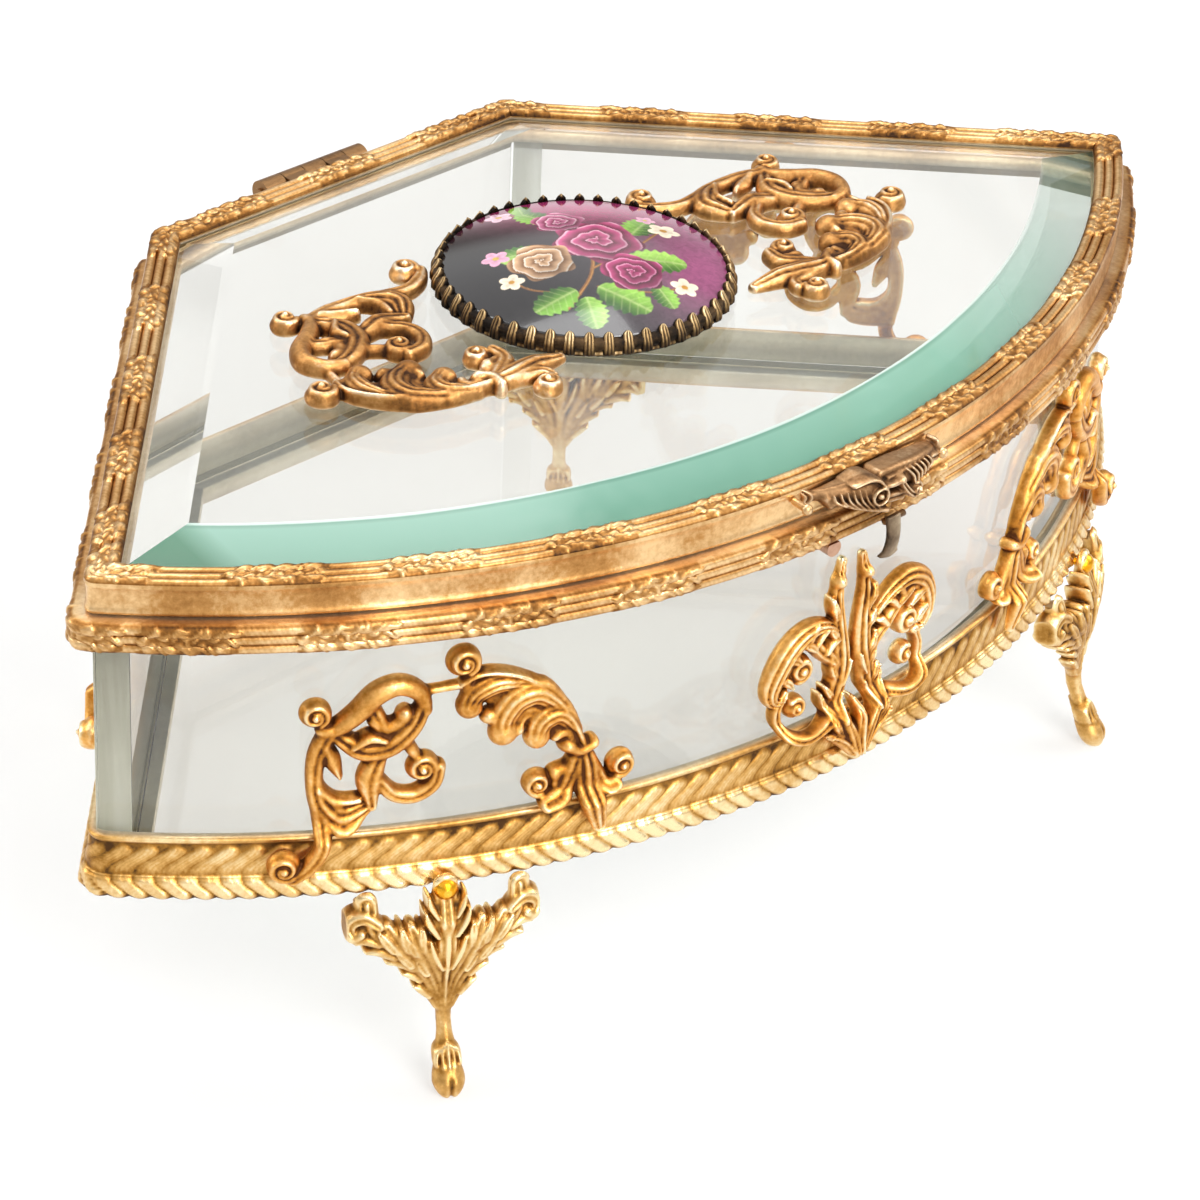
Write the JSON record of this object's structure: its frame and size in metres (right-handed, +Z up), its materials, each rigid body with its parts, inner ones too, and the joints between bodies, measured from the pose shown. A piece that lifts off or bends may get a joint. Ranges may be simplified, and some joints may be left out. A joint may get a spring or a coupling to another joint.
{
  "type": "glass casket box",
  "caption": "Fan-shaped bevelled-glass keepsake casket in gilt-bronze mounts on hoof feet, with a hinged glass lid, a round domed medallion and scroll mounts.",
  "frame": {"origin": "centre of the whole part's box in plan, on the plane the hooves stand on", "axes": "+X to the right along the width, +Y toward the hinge and the short back wall, +Z up; the bowed front faces -Y"},
  "size_m": [0.2474, 0.1486, 0.1055],
  "materials": {
    "bright_gilt": "bright burnished yellow gilding over cast and stamped bronze",
    "coppery_gilt": "worn coppery gilding with brown patina in the recesses",
    "orange_gilt": "warm orange gilding with a soft sheen",
    "dark_bronze": "dark brown patinated bronze, lighter on the worn edges",
    "clear_glass": "clear polished bevelled glass, pale green at the edges",
    "painted_porcelain": "glossy painted and glazed porcelain with a flower spray"
  },
  "bodies": {
    "box": {"base_rim_front": "bright_gilt", "base_rim_left": "bright_gilt", "base_rim_right": "bright_gilt", "base_rim_back": "bright_gilt", "front_left_foot": "bright_gilt", "front_right_foot": "bright_gilt", "back_left_foot": "bright_gilt", "back_right_foot": "bright_gilt", "body_rim_front": "coppery_gilt", "body_rim_left": "coppery_gilt", "body_rim_right": "coppery_gilt", "body_rim_back": "coppery_gilt", "latch_nib": "coppery_gilt", "foot_rivets": "coppery_gilt", "front_left_scroll": "orange_gilt", "front_right_scroll": "orange_gilt", "front_centre_mount": "orange_gilt", "left_side_scroll": "orange_gilt", "right_side_scroll": "orange_gilt", "hinge_body_leaf": "dark_bronze", "hinge_pin": "dark_bronze", "bottom_glass": "clear_glass", "front_glass": "clear_glass", "left_glass": "clear_glass", "right_glass": "clear_glass", "back_glass": "clear_glass"},
    "lid": {"lid_frame_front": "coppery_gilt", "lid_frame_left": "coppery_gilt", "lid_frame_right": "coppery_gilt", "lid_frame_back": "coppery_gilt", "lid_glass": "clear_glass", "lid_glass_retainer": "coppery_gilt", "medallion_bezel": "dark_bronze", "medallion_plaque": "painted_porcelain", "lid_left_scroll": "orange_gilt", "lid_right_scroll": "orange_gilt", "hinge_lid_leaf": "dark_bronze", "clasp_shell": "dark_bronze", "clasp_pins": "coppery_gilt", "latch_pin": "dark_bronze"},
    "latch": {"latch_tongue": "dark_bronze"}
  },
  "joints": [
    {"name": "lid_hinge", "type": "hinge", "parent": "box", "child": "lid", "pos_m": [-0.002, 0.0719, 0.0936], "axis": [-1, 0, 0], "range_deg": [0, 100]},
    {"name": "latch_pivot", "type": "hinge", "parent": "lid", "child": "latch", "pos_m": [0.00225, -0.07079, 0.0862], "axis": [-0.9999, -0.0131, 0], "range_deg": [0, 35]}
  ]
}
